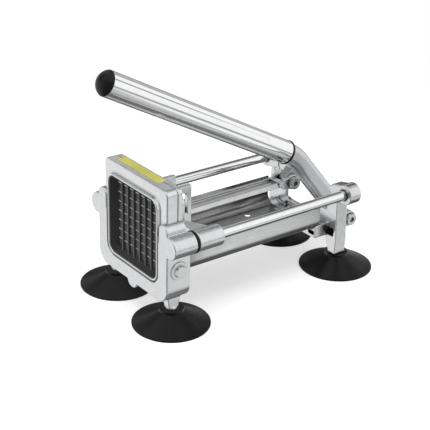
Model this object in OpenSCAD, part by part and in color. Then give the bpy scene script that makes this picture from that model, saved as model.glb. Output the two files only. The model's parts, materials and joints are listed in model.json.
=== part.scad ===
// Hand-lever french fry cutter on four suction cups.
// A lever swings a link, and the link drives a studded pusher along two guide rods,
// through an open trough and into a grid of blades held in a cassette at the front.
// X runs across the cutter, Y from the blades to the pivot, Z up from the table.

/* [Blade cassette] */
// Number of cells along each side of the blade grid
cells = 8; // [6:1:9]
// Distance from one blade to the next
pitch = 9.525; // [8.5:0.025:11]
// Thickness of one blade strip
blade_t = 0.6; // [0.4:0.05:0.8]
// Depth of a blade strip, front to back
blade_depth = 10; // [8:0.5:10.5]
// Thickness of the liner ring that holds the blades
liner_t = 0.9; // [0.6:0.1:1.5]
// Width of the cassette beside the window
cassette_side = 11.8; // [10.5:0.1:14]
// Height of the cassette above and below the window
cassette_rim = 12.5; // [11:0.1:15]
// Height of the cassette's lower edge above the table
cassette_z = 30.8; // [30:0.2:40]
// Depth of the front half of the cassette
cassette_front_t = 11.6; // [11:0.1:13]
// Depth of the rear half of the cassette
cassette_back_t = 5.3; // [4.5:0.1:6]
// Outer corner radius of the cassette
cassette_r = 5; // [3:0.5:7]
// Corner radius of the window's lip
window_r = 8; // [5:0.5:9]
// Wall thickness of the lip round the window
lip_t = 2; // [1.5:0.1:3]

/* [Front casting] */
// Thickness of the flange in front of the cassette
flange_t = 3.9; // [3:0.1:5]
// Thickness of the cheeks beside the cassette
cheek_t = 5.75; // [5:0.05:8]
// Thickness of the sill under the cassette
sill_t = 4.7; // [4:0.1:6]
// Thickness of the plate behind the cassette
back_plate_t = 5; // [4.5:0.1:7]
// Radius of the flange's lower corners
flange_r = 14.5; // [10:0.5:16]
// Radius of the ear lobes beside the cassette
ear_r = 6.5; // [6:0.1:7]
// Height of the ear lobes' centres above the guide rods
ear_rise = 12.7; // [11:0.1:20]

/* [Guide rods] */
// Diameter of the guide rods
rod_d = 10; // [8:0.5:11]
// Height of the rods above the middle of the window
rod_rise = 2; // [0:0.5:6]
// Distance from the cheek's outside to the middle of the rod
rod_out = 2.7; // [2:0.1:4]
// Radius of the bosses round the rods
boss_r = 10.3; // [9.5:0.1:11]
// Length of the front bosses
front_boss_len = 24.4; // [22:0.1:25]
// Thickness of the rubber bumper rings
bumper_t = 2.6; // [2:0.1:3.5]

/* [Trough] */
// Thickness of the trough's sheet
trough_t = 1.5; // [1:0.1:2]
// Height of the trough's walls
trough_h = 30.5; // [26:0.5:31.5]
// Length of the trough
trough_len = 173.3; // [170:0.1:190]
// Inner bend radius of the trough
trough_bend_r = 10.5; // [9:0.1:11.5]
// Diameter of the drain holes
drain_d = 6.5; // [4:0.5:10]

/* [Rear casting] */
// Width of the legs
leg_w = 16; // [15:0.5:17]
// Depth of the legs
leg_t = 13.8; // [13:0.1:16]
// Distance from the trough's end to the legs
leg_gap = 12.4; // [10:0.1:16]
// Distance from the back of the legs to the handle's pivot
pivot_reach = 39.5; // [38:0.5:41]
// Diameter of the pivot bolt
pivot_d = 8; // [6:0.5:8.5]
// Width of the pivot lugs
lug_w = 7; // [6:0.5:8]

/* [Suction cups] */
// Outer radius of the suction cups
cup_r = 36.5; // [32:0.5:38]
// Height of the cups to the top of the neck
cup_h = 16; // [15.5:0.1:17.5]
// Radius of the cup's neck
neck_r = 11; // [9.5:0.5:13]
// Distance from the flange face to the front cups' middle
front_foot_y = 13; // [12:0.5:15]

/* [Handle] */
// Length of the grip tube
grip_len = 232.7; // [180:0.1:240]
// Diameter of the grip tube
grip_d = 24; // [23:0.5:28]
// Width of the arm across the cutter
arm_w = 18; // [16:0.5:19]
// Thickness of the arm in the plane of its swing
arm_t = 20.5; // [18:0.5:21]
// Distance from the pivot to the corner of the arm's bend
arm_len = 105.9; // [104:0.1:111]
// Distance from the bend's corner to the grip
neck_len = 12; // [11:0.5:20]
// Angle of the arm from the rearward horizontal
arm_angle = 130; // [129.5:0.1:131]
// Turn of the arm's bend
arm_turn = 22.1; // [20:0.1:26]
// Distance from the handle's pivot to the link's pin
crank_r = 94.6; // [94:0.1:95.4]
// Height angle of the link's pin seen from the handle's pivot
crank_angle = 37; // [36.6:0.1:37.5]

/* [Link] */
// Width of the link
link_w = 16; // [14:0.5:17]
// Thickness of the link's edge ribs, top to bottom
link_t = 5.5; // [5:0.1:6.5]
// Thickness of the link's web
web_t = 3; // [2:0.1:4]
// Diameter of the link's pins
pin_d = 8; // [6:0.5:8.5]

/* [Pusher] */
// Side of one square stud
stud_w = 7.2; // [6.8:0.1:8.3]
// How far the studs reach into the blades
stud_reach = 7.2; // [4:0.1:8]
// Thickness of the stud block's plate
block_t = 6; // [4:0.5:7]
// Thickness of the pusher frame's plate
frame_t = 4; // [3:0.5:4.5]
// Outer radius of the slider bosses
slider_r = 10; // [9.5:0.1:10.5]
// Length of the slider bosses
slider_len = 27.2; // [24:0.1:32]

/* [Hidden] */
$fn = 64;
// Overrun of the cuts past the faces that they open
over = 1;
// Depth by which joined shapes of one solid run into each other
sink = 0.5;
// Clearance of parts that are dropped into place
drop_gap = 0.15;
// Clearance of a fastener in its hole
bolt_gap = 0.05;
// Clearance of a running bore round its pin or rod
run_gap = 0.05;
// Clearance between parts that pass each other
pass_gap = 0.3;

// Grid, window and cassette
grid_w = cells * pitch;
window_w = grid_w + 2 * liner_t;
cassette_w = window_w + 2 * cassette_side;
cassette_h = window_w + 2 * cassette_rim;
window_z = cassette_z + cassette_h / 2;
cassette_y0 = flange_t;
seam_y = cassette_y0 + cassette_front_t;
cassette_y1 = seam_y + cassette_back_t;
lip_w = window_w + 2 * lip_t;
// Distance from the flange face back to the blades' edges
blade_inset = 8;
// How far the horizontal blades sit behind the vertical ones
blade_stagger = 2.5;
// Distance from the flange face back to the liner, and to its square part
liner_inset = 0.8;
liner_square = 5;
// Distance from the liner's back to the cassette's back
liner_back_gap = 0.4;
// Gap between crossing blades in their notches
notch_gap = 0.05;
// Width and depth of the label, and how thick it is
label_w = 66;
label_d = 9.5;
label_t = 0.3;
// Distance from the cassette's side to the label, and from its front to the label
label_side = 13.6;
label_front = 5;

// Front casting
cheek_x0 = cassette_w / 2 + drop_gap;
cheek_x1 = cheek_x0 + cheek_t;
sill_z1 = cassette_z - drop_gap;
sill_z0 = sill_z1 - sill_t;
back_y0 = cassette_y1 + drop_gap;
back_y1 = back_y0 + back_plate_t;
rod_x = cheek_x1 + rod_out;
rod_z = window_z + rod_rise;
ear_x = cheek_x1 - ear_r;
ear_z = rod_z + ear_rise;
// Gap between the flange and the window's lip
lip_gap = 1.5;
// Radius of the half-round tab under the sill, and how far it hangs down
tab_r = 8;
tab_drop = 6.2;
// Depth of the tab, front to back
tab_t = 6;
// Radius along the sill's rear edge
rear_edge_r = 3.5;
// Depth of the ear lobes behind the flange face
ear_len = 20.6;
// Cassette bolt: place, shank, head and washer
side_bolt_y = 12.8;
side_bolt_drop = 25.9;
side_bolt_r = 3;
side_bolt_in = 6;
side_head_r = 5.2;
side_head_t = 3.4;
washer_r = 8.6;
washer_t = 1.4;
// Cassette screws: place from the window's middle, shank and head
case_screw_share = 0.455;
case_screw_r = 2;
case_screw_len = 12;
case_head_r = 3.6;
case_head_t = 1.2;

// Foot stems: radius in the cup and depth in it
stem_r = 5;
stem_depth = 8.1;
// Front stem over the cup: half width and half depth, at the cup and at the casting
stem_low_x = 3.9;
stem_low_y = 5;
stem_top_x = 4.6;
stem_top_y = 6.7;
// Suction cups: rim, hollow underneath, shoulder under the neck, ring round the neck, and curve
cup_rim_t = 1.4;
cup_rim_w = 4.5;
cup_hollow = 3.6;
cup_hollow_slope = 4;
cup_shoulder = 13.5;
cup_ring_t = 2.3;
cup_ring_out = 0.8;
cup_curve_share = 1.15;
cup_steps = 6;

// Pusher
// Gap between the cassette's back and the pusher, and how far the plate passes the grid
back_gap = 1.2;
plate_over = 0.35;
pusher_y0 = cassette_y1 + back_gap;
pusher_w = grid_w + 2 * plate_over;
stud_y0 = blade_inset + blade_depth - stud_reach;
block_y1 = pusher_y0 + block_t;
frame_y1 = block_y1 + frame_t;
// Distance from the pusher's plate to the link's pin
pin_back = 24.5;
pin_y = pusher_y0 + pin_back;
// Ribs beside the link: gap to the link, thickness and depth
rib_gap = 2;
rib_x0 = link_w / 2 + rib_gap;
rib_t = 5;
rib_x1 = rib_x0 + rib_t;
rib_depth = 24.5;
// Height of the ribs below and above the middle, as shares of the pusher's width
rib_below_share = 0.446;
rib_above_share = 0.438;
// Room that the pin needs in the ribs' slots as the link tilts
slot_front = 7;
slot_back = 1.2;
slot_down = 1;
slot_up = 20.7;
// Arms from the pusher frame to the sliders
arm_drop = 9.3;
arm_up = 8.7;
arm_root_x = 20;
arm_root_y = 6;
arm_tip_y = 22;
slider_y0 = front_boss_len + bumper_t + pass_gap;
slider_y1 = slider_y0 + slider_len;
// Wall of the slider bushings
bushing_t = 2.5;
// Outer radius of the bumper rings
bumper_r = 10.6;
// Pusher screws: place, shank and head
push_screw_share = 0.36;
push_screw_r = 2;
push_head_r = 3.6;
push_head_t = 2.2;
push_screw_in = 4;

// Trough
// Gap between the pusher and the trough's floor, and its walls
floor_gap = 0.35;
trough_gap = 0.95;
floor_z = window_z - pusher_w / 2 - floor_gap;
trough_z0 = floor_z - trough_t;
trough_z1 = trough_z0 + trough_h;
trough_x0 = pusher_w / 2 + trough_gap;
trough_x1 = trough_x0 + trough_t;
trough_y0 = back_y0;
trough_y1 = trough_y0 + trough_len;
// Drain holes: distance from the middle, and from the trough's end
drain_x = 24.6;
drain_back = 38.3;
// Trough screws: places, shank and head
front_screw_x = 15;
rear_screw_x = 20;
rear_screw_in = 3.6;
trough_screw_r = 1.5;
trough_head_r = 2.8;
trough_screw_len = 8;

// Rear casting
// How far the legs reach in under the trough's walls
leg_under = 4.4;
leg_x0 = trough_x1 - leg_under;
leg_x1 = leg_x0 + leg_w;
leg_y0 = trough_y1 + leg_gap;
leg_y1 = leg_y0 + leg_t;
// Place of the foot stems from the legs' inner and front faces
foot_in = 9;
foot_back = 8.5;
foot_x = leg_x0 + foot_in;
rear_foot_y = leg_y0 + foot_back;
// Block under the trough's end: reach under the trough, height, rise of its sides, and overlap with the legs
block_under = 4.2;
block_h = 8.3;
block_rise = 5;
block_over = 3.3;
block_y0 = trough_y1 - block_under;
block_x = leg_x0 + block_over;
block_z0 = trough_z0 - block_h;
// How far the legs reach below the block
leg_drop = 0.7;
leg_z0 = block_z0 - leg_drop;
// How far the legs draw in at the top, outside and inside
leg_lean = 2.3;
leg_top_in = 3;
// Foot of the leg where it narrows to the stem
toe_gap = 0.5;
toe_z = cup_h + toe_gap;
toe_in = 6;
toe_out = 0.5;
// Lobe between leg and rod, and boss round the rod
lobe_in = 9.5;
lobe_r = 9.8;
lobe_tip_r = 6.8;
lobe_front = 0.7;
lobe_len = 12;
rear_boss_len = 13.3;
// Ends of the rods: behind the flange face, and past the legs' front face
rod_y0 = 2;
rod_tail = 11.3;
rod_y1 = leg_y0 + rod_tail;
// Beam between the legs, and the bow over it: thickness, gap, depth, bend and flat
beam_t = 12;
bow_t = 3.5;
bow_gap = 3.9;
bow_depth = 5.5;
bow_r = 20;
bow_flat = 18;
// Webs beside the legs, under the rods
web_in = 11;
web_deep = 4;
web_rise = 18;
// Pockets cast into the leg and block
leg_pocket_w = 10.4;
leg_pocket_h = 8.4;
leg_pocket_t = 9;
leg_pocket_in = 1.3;
leg_pocket_up = 1.8;
block_pocket_w = 8.5;
block_pocket_h = 4.2;
block_pocket_t = 8;
block_pocket_x = 34;
block_pocket_up = 3.1;
// Set screws that hold the rods
set_screw_r = 1.5;
set_screw_len = 4;
set_screw_in = 7.3;
set_screw_drop = 8.7;
// Pivot lugs and pivot bolt
pivot_y = leg_y1 + pivot_reach;
pivot_drop = 13.9;
pivot_z = trough_z0 - pivot_drop;
lug_r = 8.5;
lug_x0 = arm_w / 2 + pass_gap;
lug_x1 = lug_x0 + lug_w;
lug_y0 = leg_y0 + beam_t / 2;
pivot_head_r = 6;
pivot_head_t = 4;
pivot_nut_t = 5.5;
// Bushes in the hub, and the hub itself
bush_t = 2;
bush_len = 7.5;
hub_r = 8.5;
hub_x = arm_w / 2;
// Hub past the arm's end in radius, and inside the arm in width
hub_over = 0.4;
hub_in = 0.8;
// Length over which the arm narrows to the hub
arm_taper = 34;

// Handle
function heading(a) = [cos(a), sin(a)];
grip_angle = arm_angle + arm_turn;
// Radii of the bend, and of the arm's edges
arm_turn_r = 50;
arm_r = 7;
// Step of the arm's surface where a bend begins
arm_step = 0.05;
pivot = [pivot_y, pivot_z];
arm_corner = pivot + arm_len * heading(arm_angle);
arm_tangent = arm_turn_r * tan(arm_turn / 2);
grip_root = arm_corner + neck_len * heading(grip_angle);
// Grip: ring at its root, wall of the tube, spigot inside it, and cap on its end
ring_t = 2.5;
ring_over = 0.4;
grip_wall = 1.5;
spigot_len = 28;
cap_h = 8;
cap_plug = 12;
grip_tip = grip_root + grip_len * heading(grip_angle);
cap_r = (pow(grip_d / 2, 2) + pow(cap_h, 2)) / (2 * cap_h);
cap_middle = grip_tip + (cap_h - cap_r) * heading(grip_angle);

// Link and its pins
link_pin = pivot + crank_r * [-cos(crank_angle), sin(crank_angle)];
link_run = [link_pin[0] - pin_y, link_pin[1] - rod_z];
link_len = norm(link_run);
link_tilt = atan2(link_run[1], link_run[0]);
// Link's lower face below its pins, radius of the eyes, and width of the handle's lug
link_low = 2.5;
eye_r = 7.2;
crank_lug_w = 10;
// Fork at the link's rear end
fork_r = 7.5;
fork_t = 3.6;
fork_gap = 0.4;
fork_x0 = crank_lug_w / 2 + fork_gap;
fork_x1 = fork_x0 + fork_t;
crotch = 9.6;
fork_len = 17;
// Width of the ribs along the link
link_rib_t = 2.5;
// Height of the fork's arms as a share of its eyes
fork_web_share = 0.72;
// Foot of the handle's lug, below and above its middle
crank_lug_low = 13;
crank_lug_high = 12;
// Heads and nut of the link's pins
link_head_r = 6;
link_head_t = 4.6;
link_nut_t = 5;
front_head_r = 6.5;
front_head_t = 2.7;

// Middle of the whole cutter, front to back
front_y = cap_middle[0] - cap_r;
rear_y = max(rear_foot_y + cup_r, pivot_y + lug_r);
middle_y = (front_y + rear_y) / 2;

// Helpers
module place() translate([0, -middle_y, 0]) children();
module both_sides() {
    children();
    mirror([1, 0, 0]) children();
}
// Front-view outline, X across and Z up, made solid from y0 to y1
module slab_y(y0, y1) translate([0, y1, 0]) rotate([90, 0, 0]) linear_extrude(y1 - y0) children();
// Side-view outline, Y across and Z up, made solid from x0 to x1
module slab_x(x0, x1) translate([x0, 0, 0]) rotate([90, 0, 90]) linear_extrude(x1 - x0) children();
module rod_y(x, z, r, y0, y1) translate([x, y1, z]) rotate([90, 0, 0]) cylinder(r = r, h = y1 - y0);
module rod_x(y, z, r, x0, x1) translate([x0, y, z]) rotate([0, 90, 0]) cylinder(r = r, h = x1 - x0);
module nut_x(y, z, r, x0, x1) translate([x0, y, z]) rotate([0, 90, 0]) cylinder(r = r, h = x1 - x0, $fn = 6);
module block(x0, x1, y0, y1, z0, z1) translate([x0, y0, z0]) cube([x1 - x0, y1 - y0, z1 - z0]);
// Rectangle with round corners, from corner to corner
module round_rect(x0, x1, z0, z1, r) {
    translate([x0 + r, z0]) square([x1 - x0 - 2 * r, z1 - z0]);
    translate([x0, z0 + r]) square([x1 - x0, z1 - z0 - 2 * r]);
    for (x = [x0 + r, x1 - r], z = [z0 + r, z1 - r]) translate([x, z]) circle(r = r);
}
// Tub outline with round lower corners and an open top
module tub(x, z0, z1, r) {
    translate([-x, z0 + r]) square([2 * x, z1 - z0 - r]);
    translate([-x + r, z0]) square([2 * x - 2 * r, z1 - z0]);
    for (s = [-1, 1]) translate([s * (x - r), z0 + r]) circle(r = r);
}
// Puts a shape drawn along +Y at a point of the side view, turned up by an angle
module aim(point, angle) translate([0, point[0], point[1]]) rotate([angle, 0, 0]) children();

// Front casting
module flange_outline() {
    tub(cheek_x1, sill_z0, rod_z, flange_r);
    for (s = [-1, 1]) {
        translate([s * ear_x, ear_z]) circle(r = ear_r);
        translate([s * ear_x - ear_r, rod_z - boss_r]) square([2 * ear_r, boss_r + ear_rise]);
        translate([s * rod_x, rod_z]) circle(r = boss_r);
    }
}
module cheek_side() {
    translate([0, sill_z0]) square([back_y1 - rear_edge_r, rod_z - sill_z0]);
    translate([0, sill_z0 + rear_edge_r]) square([back_y1, rod_z - sill_z0 - rear_edge_r]);
    translate([back_y1 - rear_edge_r, sill_z0 + rear_edge_r]) circle(r = rear_edge_r);
}
module side_bolt_holes() both_sides()
    rod_x(side_bolt_y, rod_z - side_bolt_drop, side_bolt_r + bolt_gap,
        cassette_w / 2 - side_bolt_in - bolt_gap, cheek_x1 + over);
module stem_side(low, top) polygon([[-low, toe_z], [low, toe_z], [top, sill_z0], [top, sill_z1 - sink],
    [-top, sill_z1 - sink], [-top, sill_z0]]);
module foot_stem() translate([foot_x, front_foot_y, 0]) {
    translate([0, 0, cup_h - stem_depth]) cylinder(r = stem_r, h = toe_z - cup_h + stem_depth + sink);
    intersection() {
        slab_x(-stem_top_x - over, stem_top_x + over) stem_side(stem_low_y, stem_top_y);
        slab_y(-stem_top_y - over, stem_top_y + over) stem_side(stem_low_x, stem_top_x);
    }
}
module front_casting() color("silver") place() difference() {
    union() {
        slab_y(0, ear_len) flange_outline();
        intersection() {
            slab_y(0, back_y1) tub(cheek_x1, sill_z0, rod_z, flange_r);
            slab_x(-cheek_x1 - over, cheek_x1 + over) cheek_side();
        }
        both_sides() rod_y(rod_x, rod_z, boss_r, 0, front_boss_len);
        both_sides() foot_stem();
        rod_y(0, sill_z0 + tab_r - tab_drop, tab_r, 0, tab_t);
    }
    slab_y(cassette_y0, back_y0) tub(cheek_x0, sill_z1, ear_z + 2 * ear_r, cassette_r + drop_gap);
    slab_y(-over, cassette_y0 + over)
        tub(lip_w / 2 + lip_gap, window_z - lip_w / 2 - lip_gap, ear_z + 2 * ear_r,
            window_r + lip_t + lip_gap);
    slab_y(back_y0 - over, back_y1 + over)
        tub(trough_x1 + bolt_gap, trough_z0, rod_z + over, trough_bend_r + trough_t);
    both_sides() rod_y(rod_x, rod_z, rod_d / 2 + bolt_gap, rod_y0, front_boss_len + over);
    both_sides() rod_y(rod_x, rod_z, bumper_r + pass_gap, front_boss_len, back_y1 + over);
    side_bolt_holes();
    front_screw_holes();
}
module front_screw_holes() both_sides()
    translate([front_screw_x, (back_y0 + back_y1) / 2, trough_z0 - trough_screw_len])
        cylinder(r = trough_screw_r + bolt_gap, h = trough_screw_len + over);

// Cassette
module cassette_outline()
    round_rect(-cassette_w / 2, cassette_w / 2, cassette_z, cassette_z + cassette_h, cassette_r);
module liner_outline() translate([-window_w / 2, window_z - window_w / 2]) square(window_w);
// Square with round corners round the middle of the window
module centred_square(w, r) round_rect(-w / 2, w / 2, window_z - w / 2, window_z + w / 2, r);
module window_outline() centred_square(window_w, window_r);
module lip_outline() difference() {
    centred_square(lip_w, window_r + lip_t);
    window_outline();
}
module case_screw_places() for (x = [-1, 1], z = [-1, 1])
    translate([x * cassette_w * case_screw_share, 0, window_z + z * cassette_h * case_screw_share])
        children();
module cassette_front() color("gainsboro") place() difference() {
    union() {
        slab_y(cassette_y0, seam_y) cassette_outline();
        slab_y(0, cassette_y0 + sink) lip_outline();
    }
    slab_y(-over, liner_square + over) window_outline();
    slab_y(liner_square, seam_y + over) liner_outline();
    side_bolt_holes();
    case_screw_places()
        rod_y(0, 0, case_screw_r + bolt_gap, cassette_y1 - case_screw_len - bolt_gap, cassette_y1);
}
module cassette_back() color("gainsboro") place() difference() {
    slab_y(seam_y, cassette_y1) cassette_outline();
    slab_y(seam_y - over, cassette_y1 + over) liner_outline();
    side_bolt_holes();
    case_screw_places() {
        rod_y(0, 0, case_screw_r + bolt_gap, seam_y - over, cassette_y1 + over);
        rod_y(0, 0, case_head_r + bolt_gap, cassette_y1 - case_head_t, cassette_y1 + over);
    }
}
module cassette_screws() color("dimgray") place() case_screw_places() {
    rod_y(0, 0, case_screw_r, cassette_y1 - case_screw_len, cassette_y1 - case_head_t + sink);
    rod_y(0, 0, case_head_r, cassette_y1 - case_head_t, cassette_y1);
}
module blade_frame() color("dimgray") place() difference() {
    union() {
        slab_y(liner_inset, liner_square + sink) window_outline();
        slab_y(liner_square, cassette_y1 - liner_back_gap) liner_outline();
    }
    slab_y(liner_inset - over, blade_inset + sink) centred_square(grid_w, window_r - liner_t);
    slab_y(blade_inset, cassette_y1) translate([-grid_w / 2, window_z - grid_w / 2]) square(grid_w);
}
// Depth at which the notches of crossing blades meet
notch_y = blade_inset + (blade_depth + blade_stagger) / 2;
// One blade strip along X through the middle of the grid, with notches over a stretch of its depth
module strip(front, notch_from, notch_to) difference() {
    block(-grid_w / 2, grid_w / 2, front, front + blade_depth, -blade_t / 2, blade_t / 2);
    for (i = [1 : cells - 1]) translate([i * pitch - grid_w / 2, 0, 0])
        block(-blade_t / 2 - notch_gap, blade_t / 2 + notch_gap, notch_from, notch_to, -blade_t, blade_t);
}
module horizontal_blades() color("gray") place() for (i = [1 : cells - 1])
    translate([0, 0, window_z - grid_w / 2 + i * pitch])
        strip(blade_inset + blade_stagger, blade_inset, notch_y + notch_gap);
module vertical_blades() color("gray") place() for (i = [1 : cells - 1])
    translate([i * pitch - grid_w / 2, 0, window_z]) rotate([0, 90, 0])
        strip(blade_inset, notch_y - notch_gap, blade_inset + blade_depth + over);
module cassette_bolts() color("silver") place() both_sides() {
    bolt_z = rod_z - side_bolt_drop;
    rod_x(side_bolt_y, bolt_z, side_bolt_r, cassette_w / 2 - side_bolt_in, cheek_x1 + washer_t);
    rod_x(side_bolt_y, bolt_z, washer_r, cheek_x1, cheek_x1 + washer_t);
    rod_x(side_bolt_y, bolt_z, side_head_r, cheek_x1 + washer_t - sink, cheek_x1 + washer_t + side_head_t);
}
module label_strip() color("khaki") place()
    block(-cassette_w / 2 + label_side, -cassette_w / 2 + label_side + label_w,
        cassette_y0 + label_front, cassette_y0 + label_front + label_d,
        cassette_z + cassette_h, cassette_z + cassette_h + label_t);

// Guide rods and their bumper rings
module guide_rod_right() color("lightgray") place() rod_y(rod_x, rod_z, rod_d / 2, rod_y0, rod_y1);
module guide_rod_left() color("lightgray") place() rod_y(-rod_x, rod_z, rod_d / 2, rod_y0, rod_y1);
module rod_bumpers() color("black") place() both_sides() difference() {
    rod_y(rod_x, rod_z, bumper_r, front_boss_len, front_boss_len + bumper_t);
    rod_y(rod_x, rod_z, rod_d / 2 + bolt_gap, front_boss_len - over, front_boss_len + bumper_t + over);
}

// Trough
module trough_screw_places() both_sides() {
    translate([front_screw_x, (back_y0 + back_y1) / 2, 0]) children();
    translate([rear_screw_x, trough_y1 - rear_screw_in, 0]) children();
}
module trough() color("lightgray") place() difference() {
    slab_y(trough_y0, trough_y1) difference() {
        tub(trough_x1, trough_z0, trough_z1, trough_bend_r + trough_t);
        tub(trough_x0, floor_z, trough_z1 + over, trough_bend_r);
    }
    both_sides() translate([drain_x, trough_y1 - drain_back, trough_z0 - over])
        cylinder(r = drain_d / 2, h = trough_t + 2 * over);
    trough_screw_places() {
        translate([0, 0, trough_z0])
            cylinder(r1 = trough_screw_r + bolt_gap, r2 = trough_head_r + bolt_gap, h = trough_t);
        translate([0, 0, floor_z - bolt_gap]) cylinder(r = trough_head_r + bolt_gap, h = over);
        translate([0, 0, trough_z0 - over]) cylinder(r = trough_screw_r + bolt_gap, h = trough_t);
    }
}
module trough_screws() color("silver") place() trough_screw_places() {
    translate([0, 0, trough_z0]) cylinder(r1 = trough_screw_r, r2 = trough_head_r, h = trough_t);
    translate([0, 0, trough_z0 - trough_screw_len])
        cylinder(r = trough_screw_r, h = trough_screw_len + sink);
}

// Rear casting
module leg_outline() polygon([[leg_x0, leg_z0], [leg_x0, rod_z - lobe_r], [leg_x0 + leg_top_in, rod_z],
    [leg_x1 - leg_lean, rod_z], [leg_x1, leg_z0], [leg_x1 - toe_out, toe_z], [leg_x0 + toe_in, toe_z]]);
module lobe_outline() {
    lobe_x = leg_x0 + lobe_in;
    translate([lobe_x, rod_z]) circle(r = lobe_tip_r);
    translate([rod_x, rod_z]) circle(r = lobe_r);
    polygon([[lobe_x, rod_z - lobe_tip_r], [rod_x, rod_z - lobe_r], [rod_x, rod_z + lobe_r],
        [lobe_x, rod_z + lobe_tip_r]]);
}
module lug_outline() {
    translate(pivot) circle(r = lug_r);
    translate([lug_y0, pivot_z - lug_r]) square([pivot_y - lug_y0, 2 * lug_r]);
}
module bow_outline() intersection() {
    difference() {
        bow_curve(bow_r + bow_t);
        bow_curve(bow_r);
    }
    translate([-leg_x0 - sink, trough_z0 + bow_gap]) square([2 * leg_x0 + 2 * sink, bow_r - bow_t]);
}
// Flat-bottomed dish whose sides rise with radius r
module bow_curve(r) {
    centre_z = trough_z0 + bow_gap + bow_t + bow_r;
    for (s = [-1, 1]) translate([s * bow_flat, centre_z]) circle(r = r);
    translate([-bow_flat, centre_z - r]) square([2 * bow_flat, 2 * r]);
}
module rear_casting() color("silver") place() difference() {
    union() {
        both_sides() {
            slab_y(leg_y0, leg_y1) leg_outline();
            slab_y(leg_y0 - lobe_front, leg_y0 - lobe_front + lobe_len) lobe_outline();
            rod_y(rod_x, rod_z, boss_r, leg_y0 - lobe_front, leg_y0 + rear_boss_len);
            slab_x(lug_x0, lug_x1) lug_outline();
            translate([foot_x, rear_foot_y, cup_h - stem_depth])
                cylinder(r = stem_r, h = toe_z - cup_h + stem_depth + sink);
        }
        difference() {
            block(-block_x, block_x, block_y0, leg_y0 + sink, block_z0, trough_z0 + block_rise);
            slab_y(block_y0 - over, leg_y0 + over)
                tub(trough_x1 + bolt_gap, trough_z0, rod_z, trough_bend_r + trough_t);
        }
        block(-leg_x0 - sink, leg_x0 + sink, leg_y0, leg_y0 + beam_t, block_z0, trough_z0);
        slab_y(leg_y0, leg_y0 + bow_depth) bow_outline();
        both_sides() block(leg_x0 - web_in, leg_x0 + sink, leg_y0, leg_y0 + web_deep, trough_z0 - sink,
            trough_z0 + web_rise);
    }
    both_sides() {
        rod_y(rod_x, rod_z, rod_d / 2 + bolt_gap, leg_y0 - lobe_front - over,
            leg_y0 + rear_boss_len + over);
        rod_x(pivot_y, pivot_z, pivot_d / 2 + bolt_gap, lug_x0 - over, lug_x1 + over);
        block(leg_x0 + leg_pocket_in, leg_x0 + leg_pocket_in + leg_pocket_w, leg_y0 - over,
            leg_y0 + leg_pocket_t, leg_z0 + leg_pocket_up, leg_z0 + leg_pocket_up + leg_pocket_h);
        block(block_pocket_x - block_pocket_w / 2, block_pocket_x + block_pocket_w / 2, block_y0 - over,
            block_y0 + block_pocket_t, block_z0 + block_pocket_up,
            block_z0 + block_pocket_up + block_pocket_h);
        rod_y(leg_x0 + set_screw_in, rod_z - set_screw_drop, set_screw_r + bolt_gap, leg_y0 - over,
            leg_y0 + set_screw_len);
        translate([rear_screw_x, trough_y1 - rear_screw_in, trough_z0 - trough_screw_len])
            cylinder(r = trough_screw_r + bolt_gap, h = trough_screw_len + over);
    }
}
module rod_set_screws() color("dimgray") place() both_sides()
    rod_y(leg_x0 + set_screw_in, rod_z - set_screw_drop, set_screw_r, leg_y0 + sink, leg_y0 + set_screw_len);

// Suction cups
function cup_z(r) = cup_rim_t + (cup_shoulder - cup_rim_t)
    * pow((cup_r - r) / (cup_r - neck_r), cup_curve_share);
module cup_profile() polygon(concat(
    [[0, cup_hollow], [cup_r - cup_rim_w - cup_hollow_slope, cup_hollow],
        [cup_r - cup_rim_w, 0], [cup_r, 0]],
    [for (i = [0 : cup_steps]) let (r = cup_r + (neck_r - cup_r) * i / cup_steps) [r, cup_z(r)]],
    [[neck_r, cup_h - cup_ring_t], [neck_r + cup_ring_out, cup_h - cup_ring_t],
        [neck_r + cup_ring_out, cup_h], [0, cup_h]]));
module cup(side, y) color("black") place() translate([side * foot_x, y, 0]) difference() {
    rotate_extrude() cup_profile();
    translate([0, 0, cup_h - stem_depth])
        cylinder(r = stem_r + bolt_gap, h = stem_depth + over / 2);
}
module suction_cup_front_left() cup(-1, front_foot_y);
module suction_cup_front_right() cup(1, front_foot_y);
module suction_cup_rear_left() cup(-1, rear_foot_y);
module suction_cup_rear_right() cup(1, rear_foot_y);

// Handle
module arm_section(across, deep) round_rect(-across / 2, across / 2, -deep / 2, deep / 2, arm_r);
// Straight run of the arm, a hair thinner than the bends, which it enters at both ends
module arm_run(point, angle, run) aim(point, angle) translate([0, -sink, 0]) rotate([-90, 0, 0])
    linear_extrude(run + 2 * sink) arm_section(arm_w - 2 * arm_step, arm_t - 2 * arm_step);
module arm_bend(point, angle, turn, r) translate([0, point[0], point[1]]) rotate([90, 0, 90])
    translate(r * heading(angle + 90)) rotate([0, 0, angle - 90]) rotate_extrude(angle = turn)
    translate([r, 0]) arm_section(arm_t, arm_w);
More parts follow.
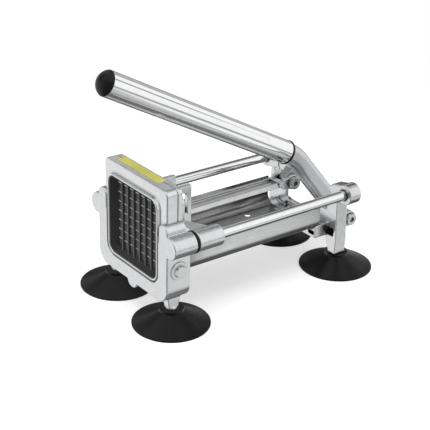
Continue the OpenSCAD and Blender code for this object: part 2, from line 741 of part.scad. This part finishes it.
// Arm seen from its side, drawn from the pivot
module arm_side() {
    circle(r = hub_r - hub_over);
    polygon([[0, -hub_r + hub_over], [arm_taper, -arm_t / 2], [arm_len, -arm_t / 2], [arm_len, arm_t / 2],
        [arm_taper, arm_t / 2], [0, hub_r - hub_over]]);
}
module crank_lug() {
    foot = (link_pin - pivot) * heading(arm_angle);
    gap = norm(link_pin - pivot - foot * heading(arm_angle));
    circle(r = eye_r);
    polygon([[0, -eye_r], [gap, -crank_lug_low], [gap, crank_lug_high], [0, eye_r]]);
}
module handle_arm() color("silver") place() difference() {
    union() {
        rod_x(pivot_y, pivot_z, hub_r, -hub_x + hub_in, hub_x - hub_in);
        intersection() {
            arm_run(pivot - hub_r * heading(arm_angle), arm_angle, hub_r + arm_len - arm_tangent);
            aim(pivot, arm_angle) slab_x(-hub_x - over, hub_x + over) arm_side();
        }
        arm_bend(arm_corner - arm_tangent * heading(arm_angle), arm_angle, arm_turn, arm_turn_r);
        arm_run(arm_corner + arm_tangent * heading(grip_angle), grip_angle, neck_len - arm_tangent - sink);
        aim(grip_root, grip_angle) rod_y(0, 0, grip_d / 2 - grip_wall - bolt_gap, -sink, spigot_len);
        aim(link_pin, arm_angle - 90) slab_x(-crank_lug_w / 2, crank_lug_w / 2) crank_lug();
    }
    rod_x(pivot_y, pivot_z, pivot_d / 2 + pass_gap, -hub_x - over, hub_x + over);
    both_sides() rod_x(pivot_y, pivot_z, pivot_d / 2 + bush_t, hub_x - bush_len, hub_x + over);
    rod_x(link_pin[0], link_pin[1], pin_d / 2 + run_gap, -crank_lug_w, crank_lug_w);
}
module pivot_bushes() color("peru") place() both_sides() difference() {
    rod_x(pivot_y, pivot_z, pivot_d / 2 + bush_t, hub_x - bush_len, hub_x);
    rod_x(pivot_y, pivot_z, pivot_d / 2 + run_gap, hub_x - bush_len - over, hub_x + over);
}
module grip_ring() color("black") place() aim(grip_root, grip_angle) difference() {
    rod_y(0, 0, grip_d / 2 + ring_over, 0, ring_t);
    rod_y(0, 0, grip_d / 2 - grip_wall, -over, ring_t + over);
}
module handle_grip() color("gainsboro") place() aim(grip_root, grip_angle) difference() {
    rod_y(0, 0, grip_d / 2, ring_t, grip_len);
    rod_y(0, 0, grip_d / 2 - grip_wall, -over, grip_len + over);
}
module grip_cap() color("black") place() aim(grip_root, grip_angle) {
    intersection() {
        translate([0, grip_len + cap_h - cap_r, 0]) sphere(r = cap_r);
        rod_y(0, 0, grip_d / 2 + over, grip_len, grip_len + cap_h + over);
    }
    rod_y(0, 0, grip_d / 2 - grip_wall - bolt_gap, grip_len - cap_plug, grip_len + sink);
}
module pivot_bolt() color("silver") place() {
    rod_x(pivot_y, pivot_z, pivot_d / 2, -lug_x1 - pivot_nut_t, lug_x1 + sink);
    difference() {
        rod_x(pivot_y, pivot_z, pivot_head_r, lug_x1, lug_x1 + pivot_head_t);
        nut_x(pivot_y, pivot_z, side_bolt_r, lug_x1 + pivot_head_t / 2, lug_x1 + pivot_head_t + over);
    }
}
module pivot_nut() color("silver") place() difference() {
    nut_x(pivot_y, pivot_z, pivot_head_r + over, -lug_x1 - pivot_nut_t, -lug_x1);
    rod_x(pivot_y, pivot_z, pivot_d / 2 + bolt_gap, -lug_x1 - pivot_nut_t - over, -lug_x1 + over);
}

// Link, drawn along +Y from its front pin
module link_side_front() {
    circle(r = eye_r);
    translate([0, -link_low]) square([link_len - crotch - fork_len / 2, link_t]);
}
module fork_side() {
    translate([link_len, 0]) circle(r = fork_r);
    translate([link_len - fork_len, -link_low]) square([fork_len, link_t]);
    translate([link_len - crotch - link_rib_t, -fork_r * fork_web_share])
        square([crotch + link_rib_t, 2 * fork_r * fork_web_share]);
}
module link_bar() color("gainsboro") place() aim([pin_y, rod_z], link_tilt) difference() {
    union() {
        rod_x(0, 0, eye_r, -link_w / 2, link_w / 2);
        block(-link_w / 2, link_w / 2, 0, link_len - crotch, -link_low, -link_low + web_t);
        both_sides() slab_x(link_w / 2 - link_rib_t, link_w / 2) link_side_front();
        both_sides() slab_x(fork_x0, fork_x1) fork_side();
        block(-fork_x1, fork_x1, link_len - fork_len, link_len - crotch, -link_low, -link_low + link_t);
    }
    rod_x(0, 0, pin_d / 2 + run_gap, -link_w, link_w);
    rod_x(link_len, 0, pin_d / 2 + bolt_gap, -link_w, link_w);
}
module link_bolt() color("silver") place() {
    rod_x(link_pin[0], link_pin[1], pin_d / 2, -fork_x1 - link_nut_t, fork_x1 + sink);
    difference() {
        rod_x(link_pin[0], link_pin[1], link_head_r, fork_x1, fork_x1 + link_head_t);
        nut_x(link_pin[0], link_pin[1], side_bolt_r, fork_x1 + link_head_t / 2,
            fork_x1 + link_head_t + over);
    }
}
module link_nut() color("silver") place() difference() {
    nut_x(link_pin[0], link_pin[1], link_head_r + over, -fork_x1 - link_nut_t, -fork_x1);
    rod_x(link_pin[0], link_pin[1], pin_d / 2 + bolt_gap, -fork_x1 - link_nut_t - over, -fork_x1 + over);
}
module link_front_pin() color("silver") place() {
    rod_x(pin_y, rod_z, pin_d / 2, -rib_x1 - pass_gap - sink, rib_x1 + pass_gap + sink);
    both_sides() rod_x(pin_y, rod_z, front_head_r, rib_x1 + pass_gap, rib_x1 + pass_gap + front_head_t);
}

// Pusher
// The pusher's corners follow the trough's bends
module plate_outline() centred_square(pusher_w, trough_bend_r);
module pusher_screw_places() for (x = [-1, 1], z = [-1, 1])
    translate([x * pusher_w * push_screw_share, 0, window_z + z * pusher_w * push_screw_share]) children();
module studs_outline() for (i = [0 : cells - 1], j = [0 : cells - 1])
    translate([i * pitch, window_z + j * pitch]) translate((pitch - stud_w - grid_w) / 2 * [1, 1])
        square(stud_w);
module pusher_block() color("dimgray") place() difference() {
    union() {
        slab_y(pusher_y0, block_y1) plate_outline();
        slab_y(stud_y0, pusher_y0 + sink) intersection() {
            studs_outline();
            plate_outline();
        }
    }
    pusher_screw_places() rod_y(0, 0, push_screw_r + bolt_gap, block_y1 - push_screw_in, block_y1 + over);
}
module slot_outline() {
    slot_y0 = pin_y - pin_d / 2 - slot_front;
    slot_w = pin_d + slot_front + slot_back;
    slot_z0 = rod_z - pin_d / 2 - slot_down;
    slot_h = pin_d + slot_down + slot_up;
    round_rect(slot_y0, slot_y0 + slot_w, slot_z0, slot_z0 + slot_h, pin_d / 2);
}
module rib_side() translate([frame_y1 - sink, window_z - pusher_w * rib_below_share])
    square([rib_depth + sink, pusher_w * (rib_below_share + rib_above_share)]);
module pusher_frame() color("silver") place() difference() {
    union() {
        slab_y(block_y1, frame_y1) plate_outline();
        both_sides() {
            slab_x(rib_x0, rib_x1) rib_side();
            translate([0, 0, rod_z - arm_drop]) linear_extrude(arm_drop + arm_up)
                polygon([[arm_root_x, frame_y1 - sink], [arm_root_x, frame_y1],
                    [pusher_w / 2, frame_y1 + arm_root_y], [rod_x, block_y1 + arm_tip_y],
                    [rod_x, block_y1], [pusher_w / 2 - sink, block_y1]]);
            rod_y(rod_x, rod_z, slider_r, slider_y0, slider_y1);
        }
    }
    both_sides() {
        rod_y(rod_x, rod_z, rod_d / 2 + bushing_t, slider_y0 - over, slider_y1 + over);
        slab_x(rib_x0 - over, rib_x1 + over) slot_outline();
    }
    pusher_screw_places() rod_y(0, 0, push_screw_r + bolt_gap, block_y1 - over, frame_y1 + over);
}
module slider_bushings() color("peru") place() both_sides() difference() {
    rod_y(rod_x, rod_z, rod_d / 2 + bushing_t, slider_y0, slider_y1);
    rod_y(rod_x, rod_z, rod_d / 2 + run_gap, slider_y0 - over, slider_y1 + over);
}
module pusher_screws() color("silver") place() pusher_screw_places() {
    rod_y(0, 0, push_screw_r, block_y1 - push_screw_in, frame_y1 + sink);
    rod_y(0, 0, push_head_r, frame_y1, frame_y1 + push_head_t);
}

front_casting();
cassette_front();
cassette_back();
blade_frame();
vertical_blades();
horizontal_blades();
cassette_bolts();
cassette_screws();
guide_rod_left();
guide_rod_right();
rod_bumpers();
trough();
trough_screws();
rear_casting();
rod_set_screws();
suction_cup_front_left();
suction_cup_front_right();
suction_cup_rear_left();
suction_cup_rear_right();
pivot_bolt();
pivot_nut();
label_strip();
handle_arm();
pivot_bushes();
handle_grip();
grip_cap();
grip_ring();
link_bar();
link_bolt();
link_nut();
link_front_pin();
pusher_frame();
pusher_block();
slider_bushings();
pusher_screws();
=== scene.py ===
import json
import math
import bmesh
import bpy
from mathutils import Matrix, Vector

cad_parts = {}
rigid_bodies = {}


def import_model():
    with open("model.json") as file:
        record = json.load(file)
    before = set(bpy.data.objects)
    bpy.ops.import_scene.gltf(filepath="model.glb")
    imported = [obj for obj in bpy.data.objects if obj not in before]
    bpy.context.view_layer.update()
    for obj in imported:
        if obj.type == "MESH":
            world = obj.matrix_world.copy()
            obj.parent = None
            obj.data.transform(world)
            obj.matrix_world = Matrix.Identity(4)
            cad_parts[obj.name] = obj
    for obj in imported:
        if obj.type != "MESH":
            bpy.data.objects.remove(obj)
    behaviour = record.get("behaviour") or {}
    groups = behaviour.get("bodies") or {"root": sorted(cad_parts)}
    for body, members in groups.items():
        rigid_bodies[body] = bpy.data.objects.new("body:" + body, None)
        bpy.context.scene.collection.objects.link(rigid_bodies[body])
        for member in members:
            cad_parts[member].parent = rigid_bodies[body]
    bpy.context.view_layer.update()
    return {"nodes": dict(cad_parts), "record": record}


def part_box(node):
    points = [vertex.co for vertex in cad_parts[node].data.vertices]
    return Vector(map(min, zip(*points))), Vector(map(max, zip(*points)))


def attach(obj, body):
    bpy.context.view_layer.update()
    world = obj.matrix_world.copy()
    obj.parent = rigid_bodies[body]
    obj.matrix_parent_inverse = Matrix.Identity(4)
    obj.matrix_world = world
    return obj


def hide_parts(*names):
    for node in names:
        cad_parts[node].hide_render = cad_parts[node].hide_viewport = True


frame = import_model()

nodes = frame["nodes"]
BODY = {n: b for b, members in frame["record"]["behaviour"]["bodies"].items() for n in members}
MM = 0.001


# ---------------------------------------------------------------- materials
def material(name, metallic, colour, rough):
    """A new material with its node tree and its shader."""
    m = bpy.data.materials.new(name)
    m.use_nodes = True
    t = m.node_tree
    b = t.nodes["Principled BSDF"]
    b.inputs["Metallic"].default_value = metallic
    b.inputs["Base Color"].default_value = (*colour, 1)
    b.inputs["Roughness"].default_value = rough
    return m, t, b


def add(t, kind, **values):
    """A new node, with its properties or its inputs set by name."""
    n = t.nodes.new(kind)
    for k, v in values.items():
        if k in n.bl_rna.properties:
            setattr(n, k, v)
        else:
            n.inputs[k].default_value = v
    return n


def place(t, stretch=(1, 1, 1)):
    """Object coordinates in millimetres, stretched so that a pattern runs along one axis."""
    c = add(t, "ShaderNodeTexCoord")
    s = add(t, "ShaderNodeMapping")
    s.inputs["Scale"].default_value = [k / MM for k in stretch]
    t.links.new(c.outputs["Object"], s.inputs["Vector"])
    return s.outputs["Vector"]


def noise(t, where, scale, detail=4.0, rough=0.55):
    n = add(t, "ShaderNodeTexNoise", Scale=scale, Detail=detail, Roughness=rough)
    t.links.new(where, n.inputs["Vector"])
    return n.outputs["Fac"]


def spread(t, value, low, high, a=0.3, b=0.7):
    """A value from a to b, spread out from low to high."""
    n = add(t, "ShaderNodeMapRange")
    n.inputs["From Min"].default_value = a
    n.inputs["From Max"].default_value = b
    n.inputs["To Min"].default_value = low
    n.inputs["To Max"].default_value = high
    t.links.new(value, n.inputs["Value"])
    return n.outputs["Result"]


def tint(t, value, dark, light):
    """A colour between dark and light."""
    n = add(t, "ShaderNodeMix", data_type="RGBA")
    n.inputs[6].default_value = (*dark, 1)
    n.inputs[7].default_value = (*light, 1)
    t.links.new(value, n.inputs[0])
    return n.outputs[2]


def multiplied(t, colour, factor):
    n = add(t, "ShaderNodeMix", data_type="RGBA", blend_type="MULTIPLY")
    n.inputs[0].default_value = 1
    t.links.new(colour, n.inputs[6])
    t.links.new(factor, n.inputs[7])
    return n.outputs[2]


def ramp(t, value, stops):
    """A grey that goes through the given stops of place and brightness."""
    n = add(t, "ShaderNodeValToRGB")
    e = n.color_ramp.elements
    while len(e) < len(stops):
        e.new(0.5)
    for k, (at, v) in enumerate(stops):
        e[k].position = at
        e[k].color = (v, v, v, 1)
    t.links.new(value, n.inputs["Fac"])
    return n.outputs["Color"]


def bump(t, b, height, strength, distance, after=None):
    """Relief of a depth in metres, on top of an earlier relief where one is given."""
    n = add(t, "ShaderNodeBump", Strength=strength, Distance=distance)
    t.links.new(height, n.inputs["Height"])
    if after:
        t.links.new(after, n.inputs["Normal"])
    t.links.new(n.outputs["Normal"], b.inputs["Normal"])
    return n.outputs["Normal"]


def painted_crease_shade(t, colour, reach, dark, deep=0.4, clear=0.88):
    """Painted shade that darkens the colour in creases and pockets, as wide as reach in millimetres.

    It is darkest where less than the share deep of the surroundings is open, and ends at the share clear.
    """
    n = add(t, "ShaderNodeAmbientOcclusion", samples=8)
    n.inputs["Distance"].default_value = reach * MM
    return multiplied(t, colour, ramp(t, n.outputs["AO"], [(deep, dark), (clear, 1.0)]))


def cast_metal(name, light, rough, grain=0.35, reach=4, dark=0.3, deep=0.4, clear=0.88):
    """Tumbled cast aluminium: fine grain, faint clouds, a satin sheen, and painted shade in its creases."""
    m, t, b = material(name, 1.0, light, rough)
    where = place(t)
    clouds = noise(t, where, 0.11, 3)
    grit = noise(t, where, 1.7, 3, 0.7)
    clouded = tint(t, spread(t, clouds, 0, 1), tuple(0.92 * v for v in light), light)
    sanded = multiplied(t, clouded, spread(t, noise(t, where, 0.8, 2, 0.7), 0.94, 1.0))
    # Painted shade: the colour gets darker in creases and pockets, where little of the surroundings is open
    t.links.new(painted_crease_shade(t, sanded, reach, dark, deep, clear), b.inputs["Base Color"])
    t.links.new(spread(t, grit, rough - 0.07, rough + 0.09), b.inputs["Roughness"])
    n = bump(t, b, grit, grain, 0.00012)
    bump(t, b, clouds, 0.25, 0.0006, n)
    return m


def brushed_metal(name, light, rough, stretch, reach=4, dark=0.12, deep=0.4, clear=0.88):
    """Metal with fine streaks along the axis where stretch is small."""
    m, t, b = material(name, 1.0, light, rough)
    streaks = noise(t, place(t, stretch), 1.4, 4, 0.6)
    clouds = noise(t, place(t), 0.07, 2)
    metal = tint(t, spread(t, streaks, 0, 1, 0.25, 0.75), tuple(0.84 * v for v in light), light)
    # Painted shade: the streaked colour gets darker in creases and pockets, as wide as reach
    t.links.new(painted_crease_shade(t, metal, reach, dark, deep, clear), b.inputs["Base Color"])
    t.links.new(spread(t, clouds, rough - 0.04, rough + 0.06), b.inputs["Roughness"])
    bump(t, b, streaks, 0.3, 0.00006)
    return m


def polished_metal(name, light, rough):
    """Polished metal with a faint haze."""
    m, t, b = material(name, 1.0, light, rough)
    haze = noise(t, place(t), 0.16, 3)
    dark = tuple(0.94 * v for v in light)
    t.links.new(tint(t, spread(t, haze, 0, 1), dark, light), b.inputs["Base Color"])
    t.links.new(spread(t, noise(t, place(t), 0.9, 3), rough, rough + 0.05), b.inputs["Roughness"])
    return m


def moulded(name, dark, light, rough, grain, scale=1.2, reach=0, shine=0.5):
    """Moulded plastic or rubber. With a reach it gets painted shade in its gaps."""
    m, t, b = material(name, 0.0, light, rough)
    where = place(t)
    colour = tint(t, spread(t, noise(t, where, 0.09, 3), 0, 1), dark, light)
    if reach:
        # Painted shade in the gaps, nearly black where they are deepest
        colour = painted_crease_shade(t, colour, reach, 0.02, 0.45, 0.9)
    t.links.new(colour, b.inputs["Base Color"])
    b.inputs["Specular IOR Level"].default_value = shine
    grit = noise(t, where, scale, 3)
    t.links.new(spread(t, grit, rough - 0.06, rough + 0.08), b.inputs["Roughness"])
    bump(t, b, grit, grain, 0.0001)
    return m


def blade_with_painted_light(name, face_shade, edge, node):
    """Blade metal painted near black as the shade inside the cells, with a painted highlight along the front
    edge of the node.
    """
    m, t, b = material(name, 1.0, face_shade, 0.3)
    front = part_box(node)[0][1] / MM
    where = place(t)
    split = add(t, "ShaderNodeSeparateXYZ")
    t.links.new(where, split.inputs[0])
    streaks = spread(t, noise(t, place(t, (0.3, 1, 0.3)), 1.4, 4, 0.6), 0.75, 1.0)
    # Painted light: the blade is painted near black as shade, and brighter along its front 0.5 to 0.8 mm as a
    # painted highlight
    steel = tint(t, spread(t, split.outputs["Y"], 1, 0, front + 0.5, front + 0.8), face_shade, edge)
    t.links.new(multiplied(t, steel, streaks), b.inputs["Base Color"])
    return m


CAST = cast_metal("cast_aluminium_satin", (0.79, 0.795, 0.805), 0.22)
# The arm's copy is rougher and grainier, and its base is darker than the other castings as painted shade on the
# arm
CAST_ARM_SHADED = cast_metal("cast_aluminium_arm_shaded", (0.69, 0.695, 0.705), 0.28, grain=0.45)
# Painted shade: the rear casting's pockets are painted nearly black, over a wider reach
CAST_REAR = cast_metal("cast_aluminium_rear", (0.76, 0.765, 0.775), 0.22,
                       reach=6, dark=0.05, deep=0.5, clear=0.84)
CASSETTE = cast_metal("cast_aluminium_cassette", (0.82, 0.825, 0.835), 0.2)
# Painted shade: the link's web between its ribs is painted dark
LINK = cast_metal("cast_aluminium_link", (0.80, 0.805, 0.815), 0.2, grain=0.3,
                  reach=8, dark=0.06, deep=0.45, clear=0.9)
# Painted shade: the inside of the trough is painted dark, reaching 60 mm from its walls
SHEET = brushed_metal("brushed_sheet_steel", (0.75, 0.755, 0.76), 0.2, (1, 0.03, 1),
                      reach=60, dark=0.05, deep=0.54, clear=0.86)
STEEL = brushed_metal("turned_steel", (0.76, 0.765, 0.77), 0.22, (0.2, 1, 1))
BRONZE = brushed_metal("bearing_bronze", (0.70, 0.50, 0.28), 0.3, (1, 1, 0.2))
POLISH = polished_metal("polished_tube_steel", (0.94, 0.943, 0.95), 0.07)
ROD = polished_metal("polished_rod_steel", (0.92, 0.925, 0.93), 0.06)
RUBBER = moulded("black_rubber", (0.002, 0.002, 0.002), (0.004, 0.004, 0.004), 0.3, 0.15, shine=0.24)
LINER = moulded("liner_plastic", (0.03, 0.03, 0.032), (0.042, 0.042, 0.045), 0.55, 0.3, shine=0.25)
# Painted shade: the studs are painted dark in the gaps between them
STUD = moulded("stud_plastic", (0.08, 0.08, 0.083), (0.105, 0.105, 0.109), 0.5, 0.3, reach=7, shine=0.2)
CAP = moulded("gloss_cap", (0.004, 0.004, 0.004), (0.01, 0.01, 0.011), 0.3, 0.05, shine=0.2)
LABEL = moulded("plain_label_film", (0.46, 0.44, 0.075), (0.53, 0.51, 0.11), 0.5, 0.05, 0.6)
# Painted light: blades near black as shade, with painted highlights on their front edges, brightest on the
# level blades
UPRIGHT_BLADE = blade_with_painted_light("upright_blade_painted_light", (0.03, 0.03, 0.031), (0.16, 0.162, 0.165), "vertical_blades")
LEVEL_BLADE = blade_with_painted_light("level_blade_painted_light", (0.02, 0.02, 0.021), (0.55, 0.555, 0.56), "horizontal_blades")


# ---------------------------------------------------------------- pieces from the CAD nodes
def copy_of(node, name):
    """A welded copy of a node's mesh as a new object."""
    me = nodes[node].data.copy()
    me.name = name
    o = bpy.data.objects.new(name, me)
    bpy.context.scene.collection.objects.link(o)
    bm = bmesh.new()
    bm.from_mesh(me)
    bmesh.ops.remove_doubles(bm, verts=bm.verts, dist=2e-6)
    bm.to_mesh(me)
    bm.free()
    return o


def applied(o):
    """Puts the modifiers of a piece into its mesh."""
    dg = bpy.context.evaluated_depsgraph_get()
    me = bpy.data.meshes.new_from_object(o.evaluated_get(dg))
    o.modifiers.clear()
    o.data = me
    for f in me.polygons:
        f.use_smooth = True
    return o


def settle(o, mat, node):
    """Gives a piece its material, and puts it in the place of its node."""
    o.data.materials.clear()
    o.data.materials.append(mat)
    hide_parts(node)
    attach(o, BODY[node])
    return o


def cast(node, mat, voxel, rounds):
    """A node as a casting: every edge and inner corner is softened. The voxel is in millimetres."""
    o = copy_of(node, node + "_cast")
    r = o.modifiers.new("voxels", "REMESH")
    r.mode = "VOXEL"
    r.voxel_size = voxel * MM
    s = o.modifiers.new("soften", "SMOOTH")
    s.factor = 0.5
    s.iterations = rounds
    applied(o)
    return settle(o, mat, node)


def crisp(node, mat, width, angle=30, segments=3):
    """A node as a machined piece: its flat faces joined, and its edges broken by width in millimetres."""
    o = copy_of(node, node + "_piece")
    bm = bmesh.new()
    bm.from_mesh(o.data)
    bmesh.ops.dissolve_limit(bm, angle_limit=math.radians(0.5), verts=bm.verts, edges=bm.edges)
    bm.to_mesh(o.data)
    bm.free()
    b = o.modifiers.new("edges", "BEVEL")
    b.width = width * MM
    b.segments = segments
    b.limit_method = "ANGLE"
    b.angle_limit = math.radians(angle)
    b.use_clamp_overlap = True
    applied(o)
    w = o.modifiers.new("normals", "WEIGHTED_NORMAL")
    w.weight = 60
    return settle(o, mat, node)


cast("front_casting", CAST, 0.58, 7)
cast("rear_casting", CAST_REAR, 0.54, 6)
cast("cassette_front", CASSETTE, 0.45, 14)
cast("cassette_back", CASSETTE, 0.45, 12)
cast("handle_arm", CAST_ARM_SHADED, 0.6, 10)
cast("link_bar", LINK, 0.4, 6)
cast("pusher_frame", CAST, 0.6, 6)

for n in ("cassette_bolts", "pivot_bolt", "pivot_nut", "link_bolt", "link_nut", "link_front_pin",
          "pusher_screws"):
    crisp(n, STEEL, 0.35)
for n in ("cassette_screws", "trough_screws", "rod_set_screws"):
    crisp(n, STEEL, 0.15)
for n in ("pivot_bushes", "slider_bushings"):
    crisp(n, BRONZE, 0.2)
for n in ("guide_rod_left", "guide_rod_right"):
    crisp(n, ROD, 0.5)
crisp("handle_grip", POLISH, 0.25)
crisp("grip_cap", CAP, 0.3)
crisp("grip_ring", RUBBER, 0.3)
crisp("rod_bumpers", RUBBER, 0.4)
crisp("trough", SHEET, 0.25)
crisp("blade_frame", LINER, 0.25)
crisp("pusher_block", STUD, 0.3)
crisp("vertical_blades", UPRIGHT_BLADE, 0.08, segments=1)
crisp("horizontal_blades", LEVEL_BLADE, 0.08, segments=1)
crisp("label_strip", LABEL, 0.12).visible_glossy = False
for n in ("front_left", "front_right", "rear_left", "rear_right"):
    crisp("suction_cup_" + n, RUBBER, 0.4, 40)

# The grip and the rods mirror the studio, and not the front of the cutter beside and below them
UNMIRRORED = ("suction_cup_", "front_casting_", "blade_frame_", "vertical_", "horizontal_",
              "cassette_", "pusher_", "slider_", "rod_bumpers_", "trough_")
for o in bpy.context.scene.objects:
    if o.name.startswith(UNMIRRORED):
        o.visible_glossy = False


# ---------------------------------------------------------------- floor, light and camera
def floor():
    """Pale, with the cutter's shadow, and white far from it. It isn't mirrored in the metal."""
    me = bpy.data.meshes.new("floor")
    s = 6.0
    me.from_pydata([(-s, -s, 0), (s, -s, 0), (s, s, 0), (-s, s, 0)], [], [(0, 1, 2, 3)])
    o = bpy.data.objects.new("floor", me)
    bpy.context.scene.collection.objects.link(o)
    m = bpy.data.materials.new("pale_floor")
    m.use_nodes = True
    t = m.node_tree
    t.nodes.clear()
    out = add(t, "ShaderNodeOutputMaterial")
    pale = add(t, "ShaderNodeBsdfDiffuse")
    pale.inputs["Color"].default_value = (0.6, 0.6, 0.6, 1)
    glow = add(t, "ShaderNodeEmission", Strength=0.5)
    both = add(t, "ShaderNodeAddShader")
    path = add(t, "ShaderNodeLightPath")
    seen = add(t, "ShaderNodeMixShader")
    # Far from the cutter the floor goes over into the white background
    where = add(t, "ShaderNodeTexCoord")
    far = add(t, "ShaderNodeVectorMath", operation="LENGTH")
    t.links.new(where.outputs["Object"], far.inputs[0])
    white = add(t, "ShaderNodeEmission", Strength=1.0)
    fade = add(t, "ShaderNodeMixShader")
    t.links.new(spread(t, far.outputs["Value"], 0, 1, 0.3, 0.7), fade.inputs[0])
    t.links.new(both.outputs[0], fade.inputs[1])
    t.links.new(white.outputs[0], fade.inputs[2])
    t.links.new(pale.outputs[0], both.inputs[0])
    t.links.new(glow.outputs[0], both.inputs[1])
    t.links.new(path.outputs["Is Camera Ray"], seen.inputs[0])
    t.links.new(pale.outputs[0], seen.inputs[1])
    t.links.new(fade.outputs[0], seen.inputs[2])
    t.links.new(seen.outputs[0], out.inputs["Surface"])
    me.materials.append(m)
    o.visible_glossy = False


# How bright the room that the metal mirrors is, from straight below, at 0, to straight above, at 1
ROOM = [(0.0, 0.14), (0.036, 0.18), (0.058, 0.28), (0.095, 0.42), (0.153, 0.55), (0.2, 0.66), (0.29, 0.9),
        (0.5, 0.99), (0.66, 1.0)]
# Grey panels and dark gaps between the soft lights that the metal mirrors: turn from and to, height from and
# to and soft edge in degrees, and brightness. Turn 0 is behind the cutter, and 90 is on its right.
PANELS = [
    (-165, -92, -46, 10, 6, 0.93),
    (88, 190, -60, 45, 6, 0.2),
    (-190, -172, -60, 45, 6, 0.2),
    (-95, -20, 24, 45, 6, 0.62),
    (-85, -43, -60, 17, 5, 0.1),
    (-44, -11, -14, 27, 3, 0.46),
    (-64, -22, 27, 56, 4, 0.05),
    (-22, 14, 46, 64, 5, 0.4),
    (-60, 42, -58, -40, 3, 0.1),
    (40, 78, -46, -10, 4, 0.55),
    (48, 60, -36, -21, 2, 1.0),
    (18, 26, 15, 28, 2, 0.25),
    (44, 57, -16, -11, 2, 0.22),
    (-60, -8, -76, -62, 2, 0.5),
    (-150, -92, 17, 48, 6, 0.22),
]


def world():
    """White for the camera. In the metal it is a white room with greyer gaps between its soft lights."""
    w = bpy.data.worlds.new("studio")
    bpy.context.scene.world = w
    w.use_nodes = True
    t = w.node_tree
    t.nodes.clear()
    out = add(t, "ShaderNodeOutputWorld")
    path = add(t, "ShaderNodeLightPath")
    where = add(t, "ShaderNodeTexCoord")
    split = add(t, "ShaderNodeSeparateXYZ")
    t.links.new(where.outputs["Generated"], split.inputs[0])
    height = add(t, "ShaderNodeMapRange")
    height.inputs["From Min"].default_value = -1
    height.inputs["From Max"].default_value = 1
    t.links.new(split.outputs["Z"], height.inputs["Value"])
    turn = add(t, "ShaderNodeMath", operation="ARCTAN2")
    t.links.new(split.outputs["X"], turn.inputs[0])
    t.links.new(split.outputs["Y"], turn.inputs[1])
    around = add(t, "ShaderNodeMapRange")
    around.inputs["From Min"].default_value = -math.pi
    around.inputs["From Max"].default_value = math.pi
    t.links.new(turn.outputs[0], around.inputs["Value"])
    room = ramp(t, height.outputs["Result"], ROOM)
    for turn_from, turn_to, low, high, soft, value in PANELS:
        turns = (turn_from - soft, turn_from + soft, turn_to - soft, turn_to + soft)
        heights = (low - soft, low + soft, high - soft, high + soft)
        a, b, c, d = (min(max(0.5 + v / 360, 0), 1) for v in turns)
        across = ramp(t, around.outputs["Result"], [(a, 0), (b, 1), (c, 1), (d, 0)])
        a, b, c, d = (0.5 + math.sin(math.radians(max(v, -90))) / 2 for v in heights)
        upward = ramp(t, height.outputs["Result"], [(a, 0), (b, 1), (c, 1), (d, 0)])
        both = add(t, "ShaderNodeMath", operation="MULTIPLY")
        t.links.new(across, both.inputs[0])
        t.links.new(upward, both.inputs[1])
        panel = add(t, "ShaderNodeMix", data_type="RGBA")
        t.links.new(both.outputs[0], panel.inputs[0])
        t.links.new(room, panel.inputs[6])
        panel.inputs[7].default_value = (value, value, value, 1)
        room = panel.outputs[2]
    plain = add(t, "ShaderNodeBackground", Strength=0.5)
    plain.inputs["Color"].default_value = (1, 1, 1, 1)
    gloss = add(t, "ShaderNodeBackground", Strength=1.0)
    t.links.new(room, gloss.inputs["Color"])
    white = add(t, "ShaderNodeBackground", Strength=1.0)
    white.inputs["Color"].default_value = (1, 1, 1, 1)
    first = add(t, "ShaderNodeMixShader")
    t.links.new(path.outputs["Is Glossy Ray"], first.inputs[0])
    t.links.new(plain.outputs[0], first.inputs[1])
    t.links.new(gloss.outputs[0], first.inputs[2])
    both = add(t, "ShaderNodeMath", operation="MAXIMUM")
    t.links.new(path.outputs["Is Camera Ray"], both.inputs[0])
    t.links.new(path.outputs["Is Transmission Ray"], both.inputs[1])
    second = add(t, "ShaderNodeMixShader")
    t.links.new(both.outputs[0], second.inputs[0])
    t.links.new(first.outputs[0], second.inputs[1])
    t.links.new(white.outputs[0], second.inputs[2])
    t.links.new(second.outputs[0], out.inputs["Surface"])


def lamp(name, at, target, size, power):
    """A soft rectangular light that the metal doesn't mirror."""
    d = bpy.data.lights.new(name, "AREA")
    d.shape = "RECTANGLE"
    d.size, d.size_y = size
    d.energy = power
    o = bpy.data.objects.new(name, d)
    bpy.context.scene.collection.objects.link(o)
    o.location = at
    o.rotation_mode = "QUATERNION"
    o.rotation_quaternion = (Vector(target) - Vector(at)).to_track_quat("-Z", "Y")
    o.visible_glossy = False


CAMERA_ANGLES = (53.95, 25.12, 0.89)
CAMERA_PLACE = (0.76741, -0.61171, 0.52407)
CAMERA_LENS = 93.19
CAMERA_SHIFT = (0.0602, -0.00405)


def camera():
    """The photograph's camera, fitted to it. Turn, height and roll are in degrees, the place in metres."""
    a, e, r = (math.radians(v) for v in CAMERA_ANGLES)
    back = Vector((math.sin(a) * math.cos(e), -math.cos(a) * math.cos(e), math.sin(e)))
    right = Vector((math.cos(a), math.sin(a), 0))
    up = back.cross(right)
    right, up = math.cos(r) * right + math.sin(r) * up, -math.sin(r) * right + math.cos(r) * up
    d = bpy.data.cameras.new("camera")
    d.sensor_width = 36
    d.lens = CAMERA_LENS
    d.shift_x, d.shift_y = CAMERA_SHIFT
    d.clip_start, d.clip_end = 0.05, 30
    o = bpy.data.objects.new("camera", d)
    bpy.context.scene.collection.objects.link(o)
    m = Matrix((right, up, back)).transposed().to_4x4()
    m.translation = CAMERA_PLACE
    o.matrix_world = m
    bpy.context.scene.camera = o


floor()
world()
lamp("top_light", (0.2, 0.1, 1.7), (0, 0, 0.1), (1.8, 1.8), 26)
lamp("front_left_light", (-0.9, -1.6, 1.0), (0, 0, 0.1), (1.2, 1.2), 12)
lamp("right_light", (1.7, 0.2, 0.9), (0, 0, 0.1), (1.0, 1.2), 8)
camera()
bpy.context.scene.view_settings.view_transform = "Standard"
